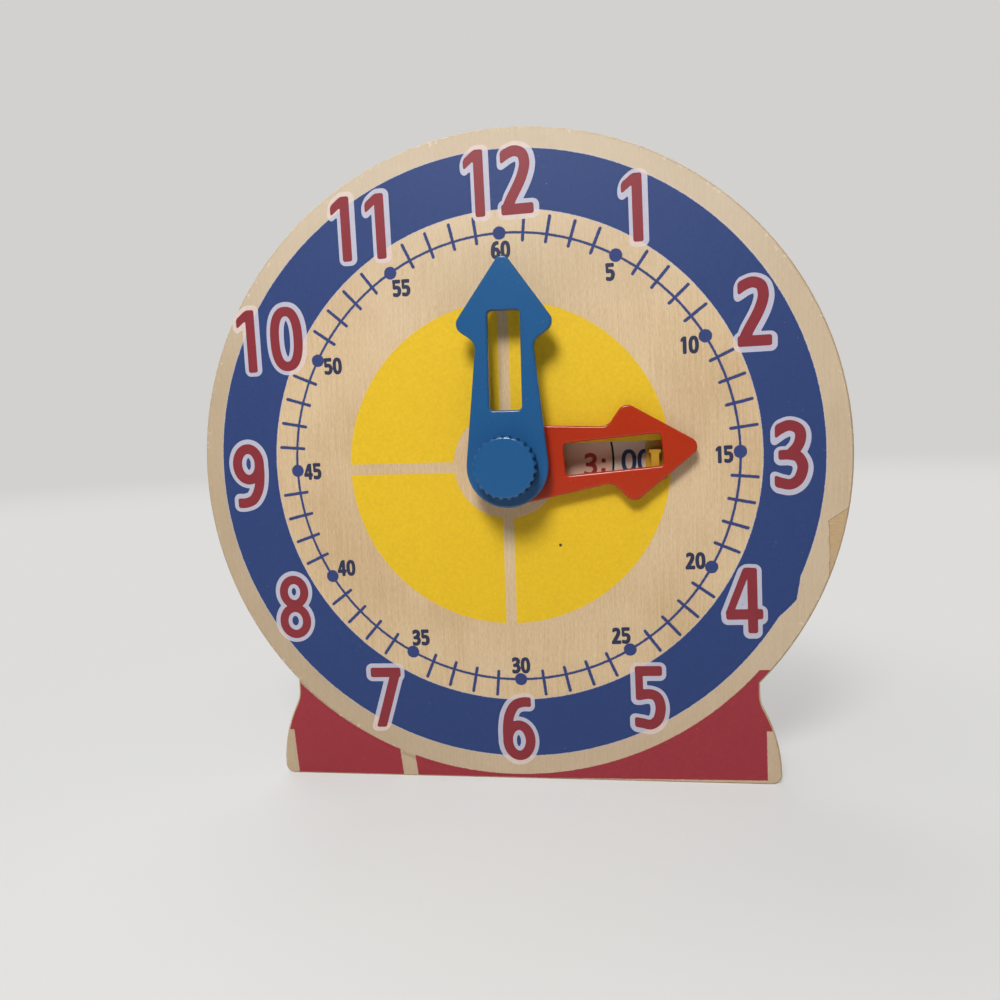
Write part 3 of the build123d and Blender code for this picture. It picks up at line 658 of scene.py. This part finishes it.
# numbers on the display discs: twelve of each, one in the window at a time
display = {
    "height": 8.45, "hourWidth": 4.75, "minuteWidth": 5.45, "stroke": 1.5, "corner": 0.35,
    "hourGap": 0.6, "minuteGap": 0.25, "colonAt": 32.65, "hourEnd": 30.4, "minuteStart": 39.1,
    "hourTurn": -2.6, "minuteTurn": -0.45, "thickness": 0.03,
    "red": linear(160, 50, 48), "blue": linear(36, 58, 98), "roughness": 0.45,
}


def printDisplay(red, blue):
    hourType = {"height": display["height"], "width": display["hourWidth"], "stroke": display["stroke"],
                "corner": display["corner"], "gap": display["hourGap"], "afterOne": 0.0,
                "narrow": {"1": 0.6, "4": 1.08}}
    minuteType = dict(hourType, width=display["minuteWidth"], gap=display["minuteGap"], narrow={"1": 0.8})
    colonType = dict(hourType, width=display["stroke"])
    apart = 30                                    # degrees from one number to the next
    hours = []
    minutes = []
    for number in range(1, 13):
        loops = numberLoops(str(number), hourType)
        right = max(x for loop in loops for x, _ in loop)
        entry = placed(loops, display["hourEnd"] - right, 0)
        entry += placed(numberLoops(":", colonType), display["colonAt"], 0)
        entry = placed(entry, 0, 0, display["hourTurn"] + apart * (number - 3))     # three stands level
        hours.append(placed(entry, shaft.x, shaft.y))
    for step in range(12):
        loops = numberLoops(f"{5 * step:02d}", minuteType)
        left = min(x for loop in loops for x, _ in loop)
        entry = placed(loops, display["minuteStart"] - left, 0)
        entry = placed(entry, 0, 0, display["minuteTurn"] + apart * step)
        minutes.append(placed(entry, shaft.x, shaft.y))
    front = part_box("hour_label")[0].y / mm
    thickness = display["thickness"]
    printInk("hourDisplayNumbers", hours, front, thickness, red, "hour_works")
    printInk("minuteDisplayNumbers", minutes, front, thickness, blue, "minute_display")


# plastics: painted shade darkens the groove between the display discs and the yellow recess
plasticLook = {
    "blue": linear(27, 86, 137), "red": linear(175, 44, 5), "yellow": linear(226, 170, 36),
    "white": linear(222, 220, 212), "roughness": 0.24, "yellowRoughness": 0.38, "whiteRoughness": 0.5,
    "mottling": 0.05, "bump": 0.05, "bumpDepth": 0.06,
}
# the gap between the display discs is painted dark, as shade
groove = {"from": 35.83, "to": 36.57, "darkening": linear(44, 30, 18)}
# the yellow plug in the board's window is painted darker, as shade, between these depths behind the face
recess = {"from": 1.0, "to": 6.4, "shade": 0.7}


def plastic(name, colour, roughness, grooved=False, recessed=False):
    recipe = newMaterial(name)
    x, y, z = recipe.place()
    mottling = plasticLook["mottling"]
    flow = recipe.noise(x, y, z, scale=0.11, detail=3.0)
    skin = recipe.noise(x, y, z, scale=2.2)
    scuffs = recipe.noise(x * 0.5 + z * 0.4, y, z * 0.5 - x * 0.4, scale=1.3, detail=5.0, rough=0.75)
    worn = recipe.soft(scuffs, 0.6, 0.78)
    shade = recipe.blend(recipe.soft(flow, 0.3, 0.7) * mottling * 3, colour, shaded(colour, 0.86))
    shade = recipe.blend(worn * mottling, shade, shaded(colour, 1.5, 0.04))
    if grooved:
        # painted shade in the gap between the display discs
        reach = farFrom(x, z, shaft)
        paintedGrooveShade = recipe.soft(reach, groove["from"] - 0.02, groove["from"])
        paintedGrooveShade = paintedGrooveShade * recipe.soft(reach, groove["to"] + 0.02, groove["to"])
        shade = recipe.blend(paintedGrooveShade, shade, groove["darkening"])
    if recessed:
        # painted shade on the yellow plastic within the board's window
        behind = y - faceY
        paintedRecessShade = recipe.soft(behind, recess["from"] - 0.2, recess["from"]) * (behind < recess["to"])
        shade = recipe.blend(paintedRecessShade, shade, shaded(colour, recess["shade"]))
    relief = recipe.bump(skin * 0.7 + scuffs * 0.3, plasticLook["bump"], plasticLook["bumpDepth"])
    return recipe.finish(Base_Color=shade, Roughness=roughness + worn * 0.2 + (skin - 0.5) * 0.08,
                         Normal=relief)


# red paint on the tray
paintLook = {
    "fresh": linear(164, 30, 44), "deep": linear(138, 22, 36), "rubbed": linear(196, 92, 92),
    "roughness": 0.4, "rub": 0.35,
}


def paintedWood():
    recipe = newMaterial("redPaintedWood")
    x, y, z = recipe.place()
    fibres = recipe.noise(x * 0.5, y * 3, z * 3, detail=3.0, rough=0.6)
    clouds = recipe.noise(x, y, z, scale=0.05)
    rubbed = recipe.soft(recipe.noise(x, y, z, scale=0.6, detail=5.0, rough=0.75), 0.68, 0.74)
    shade = recipe.blend(recipe.soft(clouds, 0.3, 0.7) * 0.35, paintLook["fresh"], paintLook["deep"])
    shade = recipe.blend(rubbed * paintLook["rub"], shade, paintLook["rubbed"])
    return recipe.finish(Base_Color=shade, Roughness=paintLook["roughness"] + rubbed * 0.15,
                         Normal=recipe.bump(fibres, strength=0.25, depth=0.12))


beechLook = {"pale": linear(206, 168, 124), "dark": linear(176, 134, 92), "roughness": 0.6}


def beechWood():
    recipe = newMaterial("beechDowel")
    x, y, z = recipe.place()
    fibres = recipe.noise(x * 3, y * 0.3, z * 3, detail=3.0, rough=0.6)
    shade = recipe.blend(fibres, beechLook["pale"], beechLook["dark"])
    return recipe.finish(Base_Color=shade, Roughness=beechLook["roughness"],
                         Normal=recipe.bump(fibres, strength=0.2, depth=0.1))


# the film on the display discs is painted warmer, pinker on the inner one, as reddish light from the red
# hour hand
labelLook = {
    "hour": linear(232, 192, 170), "minute": linear(226, 208, 194), "stain": linear(196, 172, 150),
    "dust": linear(170, 140, 118), "roughness": 0.5,
}


def labelFilm():
    recipe = newMaterial("printedLabel")
    x, y, z = recipe.place()
    clouds = recipe.noise(x, y, z, scale=0.08, detail=3.0)
    dust = recipe.soft(recipe.noise(x, y, z, scale=1.5, detail=3.0, rough=0.7), 0.62, 0.74)
    outer = recipe.soft(farFrom(x, z, shaft), groove["from"], groove["to"])
    shade = recipe.blend(outer, labelLook["hour"], labelLook["minute"])
    shade = recipe.blend(recipe.soft(clouds, 0.3, 0.7) * 0.3, shade, labelLook["stain"])
    shade = recipe.blend(dust * 0.2, shade, labelLook["dust"])
    return recipe.finish(Base_Color=shade, Roughness=labelLook["roughness"] + dust * 0.1,
                         Specular_IOR_Level=dullShine,
                         Normal=recipe.bump(clouds, strength=0.05, depth=0.1))


steelLook = {"pale": linear(196, 196, 198), "dark": linear(160, 158, 156), "roughness": 0.26}


def turnedSteel():
    recipe = newMaterial("plainSteel")
    x, y, z = recipe.place()
    rings = recipe.noise(x * 0.4, y * 9, z * 0.4)
    smears = recipe.noise(x, y, z, scale=0.6, detail=3.0)
    shade = recipe.blend(recipe.soft(smears, 0.35, 0.7), steelLook["pale"], steelLook["dark"])
    return recipe.finish(Base_Color=shade, Metallic=1.0, Roughness=steelLook["roughness"] + smears * 0.14,
                         Normal=recipe.bump(rings, strength=0.15, depth=0.05))


rubberLook = {"dark": linear(44, 44, 46), "pale": linear(62, 62, 64), "roughness": 0.8}


def softRubber():
    recipe = newMaterial("softRubber")
    x, y, z = recipe.place()
    grit = recipe.noise(x, y, z, scale=3.0, detail=3.0)
    shade = recipe.blend(grit, rubberLook["dark"], rubberLook["pale"])
    return recipe.finish(Base_Color=shade, Roughness=rubberLook["roughness"],
                         Normal=recipe.bump(grit, strength=0.3, depth=0.08))


# the clear cover at the back shows mostly by its scuffs
coverLook = {
    "clear": linear(196, 206, 210), "scuffed": linear(226, 230, 232), "roughness": 0.1, "alpha": 0.15,
}


def clearPlastic():
    recipe = newMaterial("clearCover")
    x, y, z = recipe.place()
    scuffs = recipe.soft(recipe.noise(x, y, z, scale=0.9, detail=5.0, rough=0.75), 0.58, 0.76)
    shade = recipe.blend(scuffs * 0.4, coverLook["clear"], coverLook["scuffed"])
    return recipe.finish(Base_Color=shade, Roughness=coverLook["roughness"] + scuffs * 0.25,
                         Alpha=coverLook["alpha"] + scuffs * 0.1)


# one finish for each of the frame's material slots
finishes = {
    "plywood": dialMaterial(),
    "red_wood": paintedWood(),
    "beech": beechWood(),
    "blue_plastic": plastic("blueHandPlastic", plasticLook["blue"], plasticLook["roughness"]),
    "red_plastic": plastic("redHandPlastic", plasticLook["red"], plasticLook["roughness"]),
    "yellow_plastic": plastic("yellowHousingPlastic", plasticLook["yellow"],
                              plasticLook["yellowRoughness"], recessed=True),
    "clear_plastic": clearPlastic(),
    "white_plastic": plastic("whiteDiscPlastic", plasticLook["white"], plasticLook["whiteRoughness"],
                             grooved=True),
    "label_film": labelFilm(),
    "steel": turnedSteel(),
    "rubber": softRubber(),
}
for part in frame["record"]["subparts"]:
    mesh = frame["nodes"][part["node"]].data
    mesh.materials.clear()
    mesh.materials.append(finishes[part["material_slot"]])
print("finishes made:", len(finishes))

printDialNumbers(outlineInk(), printedInk("redNumberInk", ink["red"], ink["redRoughness"]),
                 printedInk("darkNumberInk", ink["smallNumbers"], ink["roughness"]))
printDisplay(printedInk("redDisplayInk", display["red"], display["roughness"]),
             printedInk("blueDisplayInk", display["blue"], display["roughness"]))
print("numbers printed")


# floor, backdrop, lamps and camera
stage = {
    "radius": 6000.0, "near": linear(225, 225, 224), "middle": linear(221, 220, 218),
    "far": linear(210, 209, 207), "glow": linear(232, 231, 229), "glowNear": 0.5,
    "blendFrom": 110.0, "blendTo": 300.0, "wallFrom": 1200.0, "wallTo": 2600.0, "roughness": 0.6,
}
light = {
    "fill": 0.05, "skyShade": (0.88, 1.0, 1.12), "mirrored": 0.3,
    "key": {"distance": 800.0, "elevation": 40.0, "aside": 6.0, "size": 240.0, "watts": 5.4},
    "sky": {"distance": 1300.0, "elevation": 62.0, "aside": 0.0, "size": 1400.0, "watts": 2.1},
    "back": {"distance": 900.0, "elevation": 48.0, "aside": 150.0, "size": 900.0, "watts": 3.6},
}
camera = {
    "at": (39.12, -318.46, 132.46), "aim": (-4.85, -24.0, 104.82), "roll": -2.207, "lens": 29.65,
    "sensor": 36.0, "nearest": 10.0,
}


def layFloor():
    mesh = bpy.data.meshes.new("floor")
    r = stage["radius"] * mm
    mesh.from_pydata([(-r, -r, 0), (r, -r, 0), (r, r, 0), (-r, r, 0)], [], [(0, 1, 2, 3)])
    floor = bpy.data.objects.new("floor", mesh)
    bpy.context.scene.collection.objects.link(floor)
    recipe = newMaterial("paleFloor")
    x, y, z = recipe.place()
    away = (x * x + y * y) ** 0.5
    leaving = recipe.soft(away, stage["blendFrom"], stage["blendTo"])
    cloth = recipe.noise(x, y, z, scale=0.012, detail=3.0)
    shade = recipe.blend(recipe.soft(cloth, 0.3, 0.7) * 0.25, stage["near"], shaded(stage["near"], 0.93))
    lit = recipe.surface(Base_Color=shade, Roughness=stage["roughness"],
                         Normal=recipe.bump(cloth, strength=0.2, depth=2.0))
    # looked at directly, the floor fades into the backdrop as it goes away
    distant = recipe.blend(recipe.soft(away, stage["wallFrom"], stage["wallTo"]), stage["middle"],
                           stage["far"])
    distant = recipe.blend(leaving, stage["glow"], distant)
    glow = recipe.node("ShaderNodeEmission", inputs={"Color": distant, "Strength": 1.0})
    rays = recipe.node("ShaderNodeLightPath", out="Is Camera Ray")
    looked = recipe.most(rays, rays.other("Is Transmission Ray"))
    blendShare = stage["glowNear"] + (1 - stage["glowNear"]) * leaving
    recipe.show(recipe.node("ShaderNodeMixShader", inputs={0: blendShare * looked, 1: lit, 2: glow}))
    mesh.materials.append(recipe.owner)


def setWorld():
    # the kind of ray chooses the world: a pale backdrop to look at, a dimmer room to mirror, and a
    # weak fill to light with
    world = bpy.data.worlds.new("paleStudio")
    bpy.context.scene.world = world
    recipe = Recipe(world, "ShaderNodeOutputWorld")
    rays = recipe.node("ShaderNodeLightPath", out="Is Camera Ray")
    looked = recipe.most(rays, rays.other("Is Transmission Ray"))
    fill = recipe.node("ShaderNodeBackground", inputs={0: light["skyShade"], 1: light["fill"]})
    room = recipe.node("ShaderNodeBackground", inputs={0: stage["far"], 1: light["mirrored"]})
    backdrop = recipe.node("ShaderNodeBackground", inputs={0: stage["far"], 1: 1.0})
    unseen = recipe.node("ShaderNodeMixShader", inputs={0: rays.other("Is Glossy Ray"), 1: fill, 2: room})
    recipe.show(recipe.node("ShaderNodeMixShader", inputs={0: looked, 1: unseen, 2: backdrop}))


def hangLight(name):
    # a round soft lamp aimed at the hands' axis; aside is the angle from straight ahead to the left
    look = light[name]
    data = bpy.data.lights.new(name, "AREA")
    data.shape = "DISK"
    data.size = look["size"] * mm
    data.energy = look["watts"]
    lamp = bpy.data.objects.new(name, data)
    up = math.radians(look["elevation"])
    turn = math.radians(look["aside"])
    way = Vector((-math.sin(turn) * math.cos(up), -math.cos(turn) * math.cos(up), math.sin(up)))
    lamp.location = Vector((0, faceY, shaft.y)) * mm + way * look["distance"] * mm
    lamp.rotation_euler = way.to_track_quat("Z", "Y").to_euler()
    bpy.context.scene.collection.objects.link(lamp)


def setCamera():
    data = bpy.data.cameras.new("frontCamera")
    data.lens = camera["lens"]
    data.sensor_width = camera["sensor"]
    data.sensor_fit = "HORIZONTAL"
    data.clip_start = camera["nearest"] * mm
    view = bpy.data.objects.new("frontCamera", data)
    eye = Vector(camera["at"]) * mm
    aim = Vector(camera["aim"]) * mm
    level = (aim - eye).to_track_quat("-Z", "Y").to_matrix()
    view.location = eye
    view.rotation_euler = (level @ Matrix.Rotation(math.radians(camera["roll"]), 3, "Z")).to_euler()
    bpy.context.scene.collection.objects.link(view)
    bpy.context.scene.camera = view


layFloor()
setWorld()
for lampName in ("key", "sky", "back"):
    hangLight(lampName)
setCamera()
bpy.context.scene.view_settings.view_transform = "Standard"
print("stage, light and camera set")
